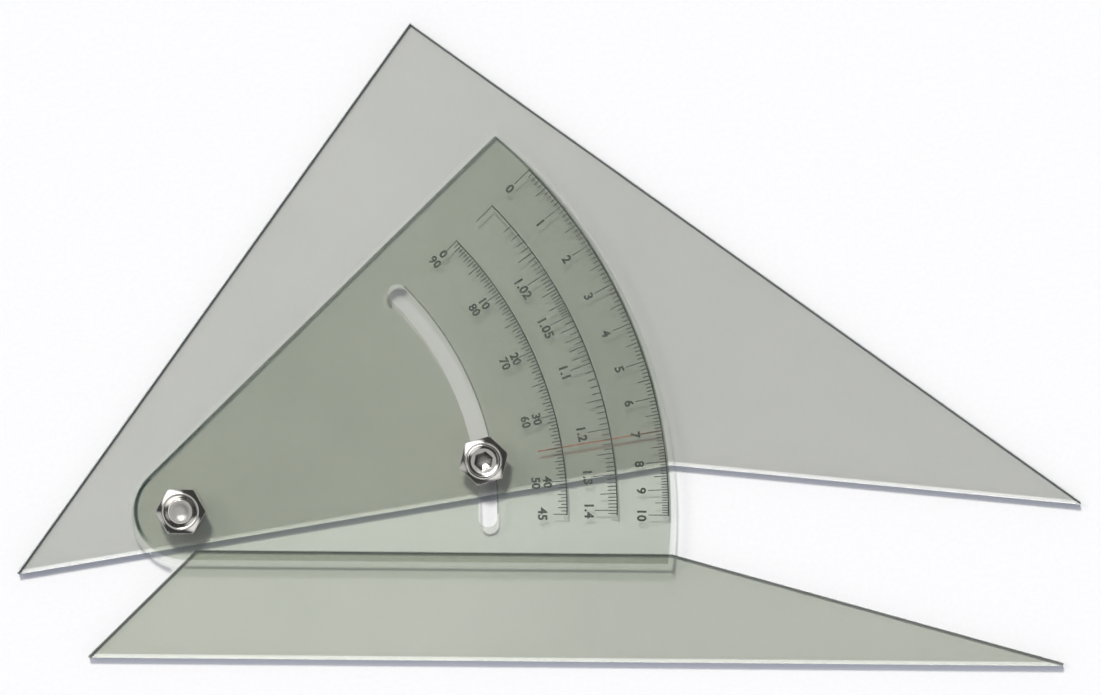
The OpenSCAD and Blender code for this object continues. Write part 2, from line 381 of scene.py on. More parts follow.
def make_round_depth():
    sockets = [("Place", "Vector", (0, 0, 0)), ("Radius", "Float", 0.1)]
    tree, given, result = new_group("round_depth", sockets, ["Depth"])
    plan = add(tree, "VectorMath", {0: given["Place"], 1: (1, 1, 0)}, operation="MULTIPLY")
    reach = add(tree, "VectorMath", {0: plan.outputs[0]}, operation="LENGTH")
    tree.links.new(calc(tree, "SUBTRACT", given["Radius"], reach.outputs["Value"]), result["Depth"])
    return tree


def make_strip():
    sockets = [(name, "Float", 0.0) for name in ("Depth", "From", "To", "Soft")]
    tree, given, result = new_group("strip", sockets, ["Mask"])
    soft = given["Soft"]
    starts = [calc(tree, "SUBTRACT", given[side], soft) for side in ("From", "To")]
    ends = [calc(tree, "ADD", given[side], soft) for side in ("From", "To")]
    rise = ramp(tree, given["Depth"], starts[0], ends[0])
    fall = ramp(tree, given["Depth"], starts[1], ends[1], 1.0, 0.0)
    tree.links.new(calc(tree, "MULTIPLY", rise, fall), result["Mask"])
    return tree


EDGE_DEPTH, ROUND_DEPTH, STRIP = make_edge_depth(), make_round_depth(), make_strip()
SOFT_BORDER = 0.12

# %% Depths and strips


def edge_depth(tree, here, facing, edge):
    """Depth inside a straight edge that faces this way and lies this far from the pivot."""
    return use(tree, EDGE_DEPTH, {"Place": here, "Facing": polar(1, facing), "Edge": edge * MM})[0]


def round_depth(tree, here, radius):
    """Depth inside a circle about the pivot."""
    return use(tree, ROUND_DEPTH, {"Place": here, "Radius": radius * MM})[0]


def strip(tree, depth, inner, outer, soft=SOFT_BORDER):
    return use(tree, STRIP, {"Depth": depth, "From": inner * MM, "To": outer * MM, "Soft": soft * MM})[0]


print("edge groups:", EDGE_DEPTH.name, ROUND_DEPTH.name, STRIP.name)

# %% [markdown]
# `handling` is what years in a drawer leave on polished plastic: faint clouds that shift its tint, and hair
# scratches, which are the sharp troughs of a stretched wave pattern, seen only where a patchy mask lets
# them through.

# %% Handling group


def make_handling():
    sockets = [("Place", "Vector", (0, 0, 0)), ("Clouds per m", "Float", 38.0), ("Hairs per m", "Float", 260.0)]
    tree, given, result = new_group("handling", sockets, ["Cloud", "Scratch"])
    here = given["Place"]
    cloud = {"Vector": here, "Scale": given["Clouds per m"], "Detail": 4.0, "Distortion": 0.6}
    tree.links.new(add(tree, "TexNoise", cloud).outputs["Fac"], result["Cloud"])
    wave = {"Vector": here, "Scale": given["Hairs per m"], "Distortion": 6.0, "Detail": 2.0}
    wave["Detail Scale"] = 0.4
    hair = ramp(tree, add(tree, "TexWave", wave).outputs["Fac"], 0.0, 0.03, 1.0, 0.0)
    patchy = add(tree, "TexNoise", {"Vector": here, "Scale": 45.0, "Detail": 1.0}).outputs["Fac"]
    tree.links.new(times(tree, hair, ramp(tree, patchy, 0.55, 0.65)), result["Scratch"])
    return tree


HANDLING = make_handling()
print("handling group with", len(HANDLING.nodes), "nodes")

# %% [markdown]
# The sheet's material has two halves. `seen_sheet` is the glass that the eye sees. Its tint wanders a
# little, and painted into its colour are the lines that the edges show by refraction: a pale rim of painted
# light where a wall's light comes up, a dark painted shade beside it, and a painted shade that deepens
# towards the right, where the light falls off. `lamp_window` is what the lamps see: a pane with bright and
# dark lines on the face towards the table, and walls that stop light.
#
# Each sheet says by masks where its lines are. A mask that a sheet doesn't name is empty:
#
# - bright, dark: lines in the light that falls below the sheet
# - rim, shade: painted light and painted shade that the eye sees in the sheet itself
# - open_wall: walls that let light through

# %% What the eye sees of a sheet
ACRYLIC_IOR = 1.49
# colours painted into the glass: rim light, edge shade, and shade where the light falls off to the right
PAINTED_RIM_LIGHT, PAINTED_EDGE_SHADE, PAINTED_FALLOFF_SHADE = rgb(0.97, 0.98, 0.97), rgb(0.10, 0.15, 0.13), rgb(0.0, 0.0, 0.02)
FAR_END, FALLOFF_SHADE_DEPTH = (55, 120), 0.08        # painted shade: the sheet darkens this much from the middle to the right, as the light falls off
SCRATCH_HEIGHT, SCRATCH_ROUGHNESS = 0.02, 0.05


def seen_sheet(tree, here, tints, masks):
    worn = use(tree, HANDLING, {"Place": here})
    colour = blend(tree, ramp(tree, worn["Cloud"], 0.3, 0.7), *tints)
    # painted shade: darker towards the right, where the light falls off
    far = fade(tree, axes(tree, here)["X"], *FAR_END)
    colour = blend(tree, times(tree, far, FALLOFF_SHADE_DEPTH), colour, PAINTED_FALLOFF_SHADE)
    # painted light and painted shade: the pale rim and the dark line along the edges
    colour = blend(tree, masks["rim"], colour, PAINTED_RIM_LIGHT)
    colour = blend(tree, masks["shade"], colour, PAINTED_EDGE_SHADE)
    bump = add(tree, "Bump", {"Strength": 0.05, "Distance": SCRATCH_HEIGHT * MM, "Height": worn["Scratch"]})
    rough = times(tree, worn["Scratch"], SCRATCH_ROUGHNESS)
    glass = add(tree, "BsdfPrincipled", {"Base Color": colour, "Roughness": rough, "Normal": bump.outputs[0]})
    glass.inputs["Transmission Weight"].default_value = 1.0
    glass.inputs["IOR"].default_value = ACRYLIC_IOR
    return glass.outputs[0]


# %% What the lamps see of a sheet
DARK_PANE = rgb(0.22, 0.23, 0.22)
UPRIGHT = 0.5       # a face whose normal rises less than this is a wall


def lamp_window(tree, here, facts, normal, panes, walls, stops, masks):
    """panes are the pane's colour and that of its bright lines. walls are what a wall lets through where
    light comes in at it, and where light goes out, and stops are how high up these walls stop light."""
    wall = calc(tree, "LESS_THAN", calc(tree, "ABSOLUTE", normal["Z"]), UPRIGHT)
    leaving = facts["Backfacing"]
    entering = without(tree, leaving)
    table_face = times(tree, without(tree, wall), entering)
    passing = blend(tree, times(tree, table_face, masks["bright"]), *panes)
    passing = blend(tree, times(tree, table_face, masks["dark"]), passing, DARK_PANE)
    height = axes(tree, here)["Z"]
    closed = times(tree, wall, without(tree, masks["open_wall"]))
    for side, shade, stop in zip((entering, leaving), walls, stops):
        passing = blend(tree, times(tree, closed, side, under(tree, height, stop)), passing, shade)
    return add(tree, "BsdfTransparent", {"Color": passing}).outputs[0]


# %% Clear sheet


def clear_sheet(name, draw_masks, tints, panes, walls, stops):
    """draw_masks(tree, here, normal) gives the sheet's masks by name."""
    material, tree, surface = new_material(name)
    here = place(tree)
    facts = add(tree, "NewGeometry").outputs
    normal = axes(tree, facts["True Normal"])
    masks = dict.fromkeys(("bright", "dark", "rim", "shade", "open_wall"), 0.0)
    masks.update(draw_masks(tree, here, normal))
    glass = seen_sheet(tree, here, tints, masks)
    pane = lamp_window(tree, here, facts, normal, panes, walls, stops, masks)
    rays = add(tree, "LightPath").outputs
    lamps = most(tree, rays["Is Shadow Ray"], rays["Is Diffuse Ray"])
    both = add(tree, "MixShader", {0: lamps, 1: glass, 2: pane})
    tree.links.new(both.outputs[0], surface)
    return material


# %% [markdown]
# ## The lines of the two arms
# The base arm's long ruling edge faces the reader, and throws light back. The moving arm's lower edge has a
# bend that turns inward, so a point is as deep as the deeper of its two edges says. Both arms show a thin
# dark line of painted shade inside their upper edges.

# %% Lines of the arms
THROWN_LIGHT = (0.0, 0.95)
# INNER_SHADE is that painted shade, a dark line drawn into the glass colour inside the upper edges
INNER_SHADE, BASE_SHADE_DEPTH, ARM_SHADE_DEPTH = (0.25, 0.60), 0.5, 0.6
RULING_Y = -(ARM_DROP + CLOSED_GAP + BASE_W)
BEND = polar(math.hypot(KINK_X, ARM_DROP), math.degrees(math.atan2(-ARM_DROP, KINK_X)) + ARM_OPEN)
FACING_AWAY = ARM_OPEN - 90
FACING_PAST_BEND = FACING_AWAY - KINK_FALL


def base_masks(tree, here, normal):
    ruling = edge_depth(tree, here, -90, -RULING_Y)
    top = edge_depth(tree, here, 90, RULING_Y + BASE_W)
    return {
        "bright": strip(tree, ruling, *THROWN_LIGHT),
        "shade": times(tree, strip(tree, top, *INNER_SHADE), BASE_SHADE_DEPTH),
    }


def arm_masks(tree, here, normal):
    near = edge_depth(tree, here, FACING_AWAY, ARM_DROP)
    far = edge_depth(tree, here, FACING_PAST_BEND, BEND.dot(polar(1, FACING_PAST_BEND)))
    short_leg = edge_depth(tree, here, 135 + ARM_OPEN, SHORT_LEG)
    long_leg = edge_depth(tree, here, 45 + ARM_OPEN, LONG_LEG)
    legs = calc(tree, "MINIMUM", short_leg, long_leg)
    return {
        "bright": strip(tree, calc(tree, "MAXIMUM", near, far), *THROWN_LIGHT),
        "shade": times(tree, strip(tree, legs, *INNER_SHADE), ARM_SHADE_DEPTH),
    }


print("ruling edge at y", round(RULING_Y, 1), "mm, bend at", [round(v, 1) for v in BEND[:2]], "mm")

# %% [markdown]
# ## The lines of the protractor
# Its outline is a straight side at 45 degrees, a round end about the pivot, a straight edge below and the
# arc. The slot is cut about the same pivot, and its upper end is round. The protractor lies above the arms,
# 3 mm off the table, so its lines are thrown further in than theirs.
#
# `fan_places` says how deep a point lies inside each of them, and on which stretch of the outline it is.
# Each line is a strip of depths, kept to its own stretch, so that no line runs on past a corner.

# %% Where a point of the protractor is


def fan_places(tree, here):
    plan = axes(tree, here)
    up_side = along(tree, here, polar(1, SPAN))
    before_slot_top = over(tree, edge_depth(tree, here, SLOT_END + 90, 0.0), 0.0)
    slot_top = polar(SLOT_R, SLOT_END) * MM
    from_slot_top = add(tree, "VectorMath", {0: here, 1: slot_top}, operation="SUBTRACT").outputs[0]
    on_side = over(tree, up_side, 0.0)
    return dict(
        y=plan["Y"],
        right=over(tree, plan["X"], 0.0),
        left=under(tree, plan["X"], 0.0),
        up_side=up_side,
        on_side=on_side,
        off_side=without(tree, on_side),
        straight=edge_depth(tree, here, -90, FAN_MARGIN),
        side=edge_depth(tree, here, SPAN + 90, FAN_MARGIN),
        end=round_depth(tree, here, FAN_MARGIN),
        arc=round_depth(tree, here, FAN_R),
        slot=round_depth(tree, here, SLOT_R),
        slot_top=round_depth(tree, from_slot_top, SLOT_W / 2),
        before_slot_top=before_slot_top,
        past_slot_top=without(tree, before_slot_top),
    )


# %% [markdown]
# In the light below the protractor, a bright line lies inside the lower edge and the foot of the arc, and
# above the slot's round end. Dark lines lie along the straight edge, at the foot of the arc and at the
# slot's end. The wall of the straight edge is open, because its drawn line stands for what it would throw,
# and the slot's long walls are open, because hardly a line is thrown below so narrow a slot.

# %% Lines in the light below the protractor
EDGE_LIGHT, ARC_LIGHT, SLOT_LIGHT = (0.75, 2.3, 0.2), (0.0, 1.35), (-1.9, -0.9)
EDGE_DARK, FOOT_DARK, SLOT_DARK = (0.34, 1.02), (-0.1, 0.42), (-0.75, 0.1)
ARC_LIGHT_FADE = (16, 30, 1.0, 0.25)        # heights on the page, and the mask's value at each
FOOT_DARK_FADE = (-9.5, -8.5, 1.0, 0.0)
FACES_READER, STRAIGHT_WALL_TOP = -0.97, -12    # the wall's normal along Y, and the height it stays below
SLOT_REACH, OPEN_FROM = 3.0, 12                 # off the slot's middle line, and the height it opens from


def fan_light(tree, at):
    lower = add(tree, "Mix", {0: at["left"], 2: at["straight"], 3: at["end"]}, data_type="FLOAT").outputs[0]
    below_edge = times(tree, strip(tree, lower, *EDGE_LIGHT), under(tree, at["y"], 0.0))
    beside_arc = times(tree, strip(tree, at["arc"], *ARC_LIGHT), fade(tree, at["y"], *ARC_LIGHT_FADE))
    above_slot = times(tree, strip(tree, at["slot_top"], *SLOT_LIGHT), at["past_slot_top"])
    return most(tree, below_edge, beside_arc, above_slot)


def fan_dark(tree, at):
    at_edge = times(tree, strip(tree, at["straight"], *EDGE_DARK), at["right"])
    at_foot = times(tree, strip(tree, at["arc"], *FOOT_DARK), fade(tree, at["y"], *FOOT_DARK_FADE))
    at_slot = times(tree, strip(tree, at["slot_top"], *SLOT_DARK), at["past_slot_top"])
    return most(tree, at_edge, at_foot, at_slot)


def fan_open_wall(tree, at, normal):
    faces_reader = calc(tree, "LESS_THAN", normal["Y"], FACES_READER)
    straight_wall = times(tree, faces_reader, under(tree, at["y"], STRAIGHT_WALL_TOP))
    near_slot = under(tree, calc(tree, "ABSOLUTE", at["slot"]), SLOT_REACH)
    slot_wall = times(tree, near_slot, at["before_slot_top"], over(tree, at["y"], OPEN_FROM))
    return most(tree, straight_wall, slot_wall)


# %% [markdown]
# In the sheet itself the eye sees a pale rim of painted light along every edge, and a painted dark green
# line of shade beside it along the straight side, the round end and the upper part of the arc. The slot's
# outer wall shows as a thin painted dark line. These lines are drawn where the picture shows them, so they
# belong to this light.

# %% Lines seen in the protractor
EDGE_RIM, WALL_RIM = (-0.5, 1.0), (-0.5, 1.15)
SIDE_SHADE, END_SHADE, ARC_SHADE = (1.20, 1.85, 0.2), (1.25, 2.1, 0.25), (1.30, 1.75, 0.2)
SLOT_SHADE, SLOT_SHADE_DEPTH = (-2.65, -2.35, 0.1), 0.55
SIDE_SHADE_FADE = (5, 45, 0.95, 0.60)       # distances up the side, and the mask's value at each
END_SHADE_FADE = (-9, -4)
ARC_SHADE_FADE = (20, 35, 0.0, 0.55)
CORNER = 1.2                                # where two shades meet, each stops this far from the other edge


# painted light: a pale rim drawn into the protractor's glass colour
def fan_rim(tree, at):
    return most(
        tree,
        times(tree, strip(tree, at["straight"], *EDGE_RIM), at["right"]),
        times(tree, strip(tree, at["end"], *WALL_RIM), at["left"], at["off_side"]),
        times(tree, strip(tree, at["side"], *WALL_RIM), at["on_side"]),
        strip(tree, at["arc"], *WALL_RIM),
    )


# painted shade: dark lines drawn into the protractor's glass colour
def fan_shade(tree, at):
    up_the_side = times(tree, at["on_side"], fade(tree, at["up_side"], *SIDE_SHADE_FADE))
    side = times(tree, strip(tree, at["side"], *SIDE_SHADE), over(tree, at["arc"], CORNER), up_the_side)
    up_the_end = times(tree, at["left"], at["off_side"], fade(tree, at["y"], *END_SHADE_FADE))
    end = times(tree, strip(tree, at["end"], *END_SHADE), up_the_end)
    up_the_arc = fade(tree, at["y"], *ARC_SHADE_FADE)
    arc = times(tree, strip(tree, at["arc"], *ARC_SHADE), over(tree, at["side"], CORNER), up_the_arc)
    slot = times(tree, strip(tree, at["slot"], *SLOT_SHADE), at["before_slot_top"], over(tree, at["y"], 0.0))
    return most(tree, side, end, arc, times(tree, slot, SLOT_SHADE_DEPTH))


def fan_masks(tree, here, normal):
    at = fan_places(tree, here)
    return {
        "bright": fan_light(tree, at),
        "dark": fan_dark(tree, at),
        "open_wall": fan_open_wall(tree, at, normal),
        "rim": fan_rim(tree, at),
        "shade": fan_shade(tree, at),
    }


# %% [markdown]
# ## The three sheets
# The moving arm is nearly neutral grey, the base arm is greener, and the protractor's tint lies between
# them. A wall that throws light back still lets about a quarter of it through. A wall that faces the lamp
# lets almost none through, but it stops light only up to about half its height.

# %% Sheets
ARM_PANE, FAN_PANE = rgb(0.84, 0.845, 0.83), rgb(0.86, 0.875, 0.845)

SHEETS = {
    "base_arm": clear_sheet(
        "clear_sheet_base", base_masks,
        tints=(rgb(0.698, 0.730, 0.650), rgb(0.713, 0.744, 0.666)),
        panes=(ARM_PANE, rgb(1.55, 1.53, 1.58)),
        walls=(rgb(0.28, 0.295, 0.36), rgb(0.03, 0.035, 0.04)),
        stops=(3.0, 1.6)),
    "moving_arm": clear_sheet(
        "clear_sheet_arm", arm_masks,
        tints=(rgb(0.748, 0.754, 0.727), rgb(0.766, 0.770, 0.745)),
        panes=(ARM_PANE, rgb(1.55, 1.55, 1.58)),
        walls=(rgb(0.19, 0.205, 0.25), rgb(0.03, 0.035, 0.04)),
        stops=(2.8, 1.6)),
    "protractor_sector": clear_sheet(
        "clear_sheet_protractor", fan_masks,
        tints=(rgb(0.730, 0.756, 0.697), rgb(0.746, 0.771, 0.714)),
        panes=(FAN_PANE, rgb(1.05, 1.06, 1.04)),
        walls=(rgb(0.30, 0.31, 0.34), rgb(0.01, 0.015, 0.015)),
        stops=(FAN_Z + 2.1, FAN_Z + 1.1)),
}


def dress(node, material):
    """Give a solid of the frame its material."""
    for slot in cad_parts[node].material_slots:
        slot.material = material
    print(node, "wears", material.name)


for node, material in SHEETS.items():
    dress(node, material)

# %% [markdown]
# ## Printing
# The graduations are solids already. Ink is matt and slightly uneven: it is thinner where the screen
# printed it badly, so its colour wanders, and a fine grain breaks its surface. The printed film is thin, so
# a shadow ray sees a tinted film instead of ink, and the film's colour says how much light comes through.

# %% Inks
PATCHES_PER_M, GRAINS_PER_M = 700.0, 6000.0
GRAIN_HEIGHT = 0.01


def ink(name, full, thin, film_colour):
    material, tree, surface = new_material(name)
    here = place(tree)
    patchy = add(tree, "TexNoise", {"Vector": here, "Scale": PATCHES_PER_M, "Detail": 5.0}).outputs["Fac"]
    grain = add(tree, "TexNoise", {"Vector": here, "Scale": GRAINS_PER_M, "Detail": 2.0}).outputs["Fac"]
    colour = blend(tree, ramp(tree, patchy, 0.45, 0.75), full, thin)
    bump = add(tree, "Bump", {"Strength": 0.2, "Distance": GRAIN_HEIGHT * MM, "Height": grain})
    rough = ramp(tree, grain, 0.0, 1.0, 0.5, 0.75)
    skin = add(tree, "BsdfPrincipled", {"Base Color": colour, "Roughness": rough, "Normal": bump.outputs[0]})
    film = add(tree, "BsdfTransparent", {"Color": film_colour})
    shadow = add(tree, "LightPath").outputs["Is Shadow Ray"]
    both = add(tree, "MixShader", {0: shadow, 1: skin.outputs[0], 2: film.outputs[0]})
    tree.links.new(both.outputs[0], surface)
    return material


SCALE_INK = ink("scale_ink", rgb(0.055, 0.070, 0.064), rgb(0.120, 0.140, 0.130), rgb(0.30, 0.31, 0.33))
FIGURE_INK = ink("figure_ink", rgb(0.020, 0.028, 0.024), rgb(0.055, 0.066, 0.060), rgb(0.80, 0.80, 0.80))
INDEX_INK = ink("index_ink", rgb(0.38, 0.18, 0.13), rgb(0.50, 0.30, 0.23), rgb(0.80, 0.55, 0.48))
for node in ("degree_scale", "slope_scale", "rise_scale"):
    dress(node, SCALE_INK)
dress("index_line", INDEX_INK)

# %% [markdown]
# The figures read clockwise along their scale with their heads outward, so a figure at angle a is turned by
# a - 90 degrees. Each is set as text, made a mesh, and laid in the ink's own layer under the protractor.

# %% One number
HEIGHT_TO_SIZE = 1.42       # the font's own size for one millimetre of height
STROKE_GROWTH = 0.11        # how much bolder than the font the strokes are printed
LETTER_SPACE = 1.05
CURVE_STEPS = 3


def figure(text, height, angle, radius):
    """One number as a closed mesh, centred at angle and radius on the protractor's underside."""
    font = bpy.data.curves.new("figure", "FONT")
    font.body = text
    font.size = height * HEIGHT_TO_SIZE * MM
    font.align_x = "CENTER"
    font.align_y = "CENTER"
    font.extrude = INK_T / 2 * MM
    font.offset = STROKE_GROWTH * MM
    font.space_character = LETTER_SPACE
    font.resolution_u = CURVE_STEPS
    holder = bpy.data.objects.new("figure", font)
    scene.collection.objects.link(holder)
    mesh = bpy.data.meshes.new_from_object(holder.evaluated_get(bpy.context.evaluated_depsgraph_get()))
    bpy.data.objects.remove(holder)
    spot = polar(radius * MM, angle)
    spot.z = (FAN_Z - INK_T / 2) * MM
    mesh.transform(Matrix.Translation(spot) @ Matrix.Rotation(math.radians(angle - 90), 4, "Z"))
    return mesh


# %% All the numbers of one scale


def figures(name, labels):
    """labels are (text, height, angle, radius). The numbers of one scale are one piece of the base."""
    shape = bmesh.new()
    for label in labels:
        shape.from_mesh(figure(*label))
    bmesh.ops.remove_doubles(shape, verts=shape.verts, dist=1e-7)
    bmesh.ops.recalc_face_normals(shape, faces=shape.faces)
    piece = new_object(name, shape, FIGURE_INK)
    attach(piece, "base")
    print(name, len(labels), "numbers,", len(piece.data.polygons), "faces")


# %% [markdown]
# The values come from the scales' own geometry. A rise of v on ten of run stands at the arctangent of
# v / 10, and a slope length of v on one of run at the arccosine of 1 / v. Both count down from the upper
# side. The degree scale has two rows of numbers, which add up to 90.

# %% Numbers
FIGURE_H = 2.2
DEGREE_FIGURE_H = FIGURE_H * 0.92
RISE_R, SLOPE_R, DEGREE_OUTER_R, DEGREE_END_R, DEGREE_INNER_R = 114.5, 101.4, 91.3, 89.8, 88.4
SLOPE_LABELS = ("1.4", "1.3", "1.2", "1.1", "1.05", "1.02")


def rise_angle(value):
    return SPAN - math.degrees(math.atan(value / 10))


def slope_angle(value):
    return SPAN - math.degrees(math.acos(1 / value))


rise = [(str(value), FIGURE_H, rise_angle(value), RISE_R) for value in range(11)]
slope = [(label, FIGURE_H, slope_angle(float(label)), SLOPE_R) for label in SLOPE_LABELS]
degree = [("45", FIGURE_H, 0, DEGREE_END_R)]
for angle in range(5, 46, 10):
    value = 45 - angle
    degree.append((str(value), DEGREE_FIGURE_H, angle, DEGREE_OUTER_R))
    degree.append((str(90 - value), DEGREE_FIGURE_H, angle, DEGREE_INNER_R))
figures("rise_numbers", rise)
figures("slope_numbers", slope)
figures("degree_numbers", degree)

# %% [markdown]
# ## Bright metal
# Nickel plate is a mirror with a faint warm cast. It is dulled by fine marks, by smears, and in the corners
# where polish collects, which an occlusion mask finds. In those corners its colour is also taken nearly to
# black, which is painted shade. The brass insert is treated in the same way, so the three masks are one group.

# %% Metal wear group
MARKS_PER_M, SMEARS_PER_M = 2500.0, 320.0
NOOK_REACH = 4.0    # how far the occlusion mask looks for a wall, in millimetres


def make_metal_wear():
    tree, given, result = new_group("metal_wear", [("Place", "Vector", (0, 0, 0))], ["Marks", "Smear", "Grime and shade"])
    marks = add(tree, "TexNoise", {"Vector": given["Place"], "Scale": MARKS_PER_M, "Detail": 2.0})
    cloud = add(tree, "TexNoise", {"Vector": given["Place"], "Scale": SMEARS_PER_M, "Detail": 3.0})
    nook = add(tree, "AmbientOcclusion", {"Distance": NOOK_REACH * MM}, samples=8, only_local=True)
    tree.links.new(marks.outputs["Fac"], result["Marks"])
    tree.links.new(ramp(tree, cloud.outputs["Fac"], 0.45, 0.75), result["Smear"])
    # hollows: painted shade in the colour, and rougher, where polish collects
    tree.links.new(ramp(tree, nook.outputs["AO"], 0.32, 0.86, 1.0, 0.0), result["Grime and shade"])
    return tree


METAL_WEAR = make_metal_wear()
print("metal wear group with", len(METAL_WEAR.nodes), "nodes")

# %% Nickel and brass
SMEAR_ROUGHNESS, GRIME_ROUGHNESS = 0.10, 0.25
MARK_HEIGHT = 0.02


def polished(name, colour, painted_shade_colour, rough):
    material, tree, surface = new_material(name)
    worn = use(tree, METAL_WEAR, {"Place": place(tree)})
    # painted shade: the colour goes nearly black in the hollows
    face = blend(tree, worn["Grime and shade"], colour, painted_shade_colour)
    smeared = ramp(tree, worn["Smear"], 0, 1, rough, rough + SMEAR_ROUGHNESS)
    gloss = calc(tree, "ADD", smeared, times(tree, worn["Grime and shade"], GRIME_ROUGHNESS))
    bump = add(tree, "Bump", {"Strength": 0.12, "Distance": MARK_HEIGHT * MM, "Height": worn["Marks"]})
    skin = add(tree, "BsdfPrincipled", {"Base Color": face, "Roughness": gloss, "Normal": bump.outputs[0]})
    skin.inputs["Metallic"].default_value = 1.0
    tree.links.new(skin.outputs[0], surface)
    return material


# the second colour is the painted shade in hollows
NICKEL = polished("bright_nickel", rgb(0.80, 0.785, 0.765), rgb(0.035, 0.035, 0.033), 0.11)
BRASS = polished("insert_brass", rgb(0.66, 0.47, 0.20), rgb(0.12, 0.08, 0.03), 0.22)
print("metals:", NICKEL.name, BRASS.name)

# %% [markdown]
# ## Turned parts
# A turned part is a skin over rings. A ring is a function that gives the radius and the height at an angle,
# so a round shoulder, a hexagon's wall and the slanting cut of a chamfer are all one kind of thing, and the
# corner between a cone and a flat comes out as the real curve. The edges are then broken with a small bevel.

# %% Rings


def circle(radius, height):
    return lambda angle: (radius, height)


def hexagon_radius(across, turn, angle):
    return across / 2 / math.cos(math.radians((angle - turn) % 60 - 30))


def hexagon(across, turn, height):
    return lambda angle: (hexagon_radius(across, turn, angle), height)


def hexagon_cut(across, turn, face, flat_radius, slope):
    """The edge where a hexagon's wall meets a cone that starts at flat_radius on the face."""
    def ring(angle):
        radius = hexagon_radius(across, turn, angle)
        return radius, face - slope * max(0.0, radius - flat_radius)
    return ring


# %% A skin over rings
RING_STEPS = 96


def ring_points(shape, ring, centre, turn):
    points = []
    for step in range(RING_STEPS):
        angle = turn + 360 * step / RING_STEPS
        radius, height = ring(angle)
        points.append(shape.verts.new((polar(radius, angle) + Vector((*centre, height))) * MM))
    return points


def skin_over(rings, centre, turn):
    """rings run from the lower middle, outwards, up and back in. With a bore the skin closes on itself."""
    shape = bmesh.new()
    rows = [ring_points(shape, ring, centre, turn) for ring in rings]
    bored = rings[0](0)[0] > 0
    if bored:
        rows.append(rows[0])
    else:
        for end in (0, -1):
            bmesh.ops.pointmerge(shape, verts=rows[end], merge_co=rows[end][0].co)
            middle = next(vert for vert in rows[end] if vert.is_valid)
            rows[end] = [middle] * RING_STEPS
    for lower, upper in zip(rows, rows[1:]):
        for step in range(RING_STEPS):
            after = (step + 1) % RING_STEPS
            corners = [lower[step], lower[after], upper[after], upper[step]]
            shape.faces.new(list(dict.fromkeys(corners)))
    bmesh.ops.recalc_face_normals(shape, faces=shape.faces)
    return shape


# %% Broken edges
CORNER_ANGLE, SHARP_ANGLE = 22, 32


def drill(x, y, radius, low, high):
    """A cutter for a blind hole."""
    shape = bmesh.new()
    middle = Matrix.Translation(Vector((x, y, (low + high) / 2)) * MM)
    bmesh.ops.create_cone(shape, cap_ends=True, segments=32, radius1=radius * MM, radius2=radius * MM,
                          depth=(high - low) * MM, matrix=middle)
    return new_object("drill", shape)


def finish_metal(piece, bevel, holes):
    """Drill the holes, break the edges, and shade the rest smooth."""
    for cutter in holes:
        cut = piece.modifiers.new("hole", "BOOLEAN")
        cut.operation, cut.solver, cut.object = "DIFFERENCE", "EXACT", cutter
    edge = piece.modifiers.new("broken_edge", "BEVEL")
    edge.width = bevel * MM
    edge.segments = 2
    edge.limit_method = "ANGLE"
    edge.angle_limit = math.radians(CORNER_ANGLE)
    edge.use_clamp_overlap = True
    solid = bpy.data.meshes.new_from_object(piece.evaluated_get(bpy.context.evaluated_depsgraph_get()))
    piece.modifiers.clear()
    piece.data = solid
    for cutter in holes:
        bpy.data.objects.remove(cutter)
    solid.shade_smooth()
    solid.set_sharp_from_angle(angle=math.radians(SHARP_ANGLE))


def turned(node, rings, centre, turn, bevel, body, material, holes=()):
    """A finished turned part, which rides on a body and stands for the frame's own node."""
    piece = new_object(node + "_body", skin_over(rings, centre, turn), material)
    finish_metal(piece, bevel, holes)
    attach(piece, body)
    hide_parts(node)
    print(piece.name, len(piece.data.polygons), "faces")


# %% [markdown]
# ## Nut and collar
# They are the same hexagon with a 30 degree chamfer above. The nut's mouth is countersunk wide, and its
# bright cone is the ring that shows round the screw's end.

# %% Nut and collar
HEX_ACROSS, NUT_H, COLLAR_H = 11.0, 4.0, 2.6
HEX_FLAT = 0.84 * HEX_ACROSS / 2        # the round flat that the chamfer leaves
HEX_FOOT = 0.05                         # a slight cone under the hexagon
CHAMFER = math.tan(math.radians(30))
NUT_SINK, COLLAR_SINK = 1.15, 0.25
HEX_BEVEL = 0.08
SEAT_GAP, RUN_FIT = 0.02, 0.05
PIVOT_R, CLAMP_R = 3.0, 2.0
COLLAR_TURN = 7.5 + ARM_OPEN
NUT_Z = FAN_TOP + SEAT_GAP
NUT_TOP = NUT_Z + NUT_H
COLLAR_TOP = NUT_Z + COLLAR_H
PIVOT_AT = (0.0, 0.0)
CLAMP_AT = tuple(polar(SLOT_R, ARM_OPEN))[:2]


def hex_block(low, high, turn, bore, sink):
    """Rings of a hexagon with a bore, chamfered above and countersunk by sink."""
    return [
        circle(bore, low),
        circle(HEX_FLAT, low),
        hexagon(HEX_ACROSS, turn, low + HEX_FOOT),
        hexagon_cut(HEX_ACROSS, turn, high, HEX_FLAT, CHAMFER),
        circle(HEX_FLAT, high),
        circle(bore + sink, high),
        circle(bore, high - sink * CHAMFER),
    ]


turned("pivot_nut", hex_block(NUT_Z, NUT_TOP, 0, PIVOT_R + RUN_FIT, NUT_SINK),
       PIVOT_AT, 0, HEX_BEVEL, "base", NICKEL)
turned("clamp_collar", hex_block(NUT_Z, COLLAR_TOP, COLLAR_TURN, CLAMP_R + RUN_FIT, COLLAR_SINK),
       CLAMP_AT, COLLAR_TURN, HEX_BEVEL, "collar", NICKEL)

# %% [markdown]
# ## Pivot screw
# Its flange head is let into the underside, with two holes for a pin spanner. The end that stands in the
# nut's mouth is rounded and slightly hollow, as a machine-cut thread end is, so it mirrors a whole panel in
# one soft spot. Its profile is a list of radii and heights above the nut.

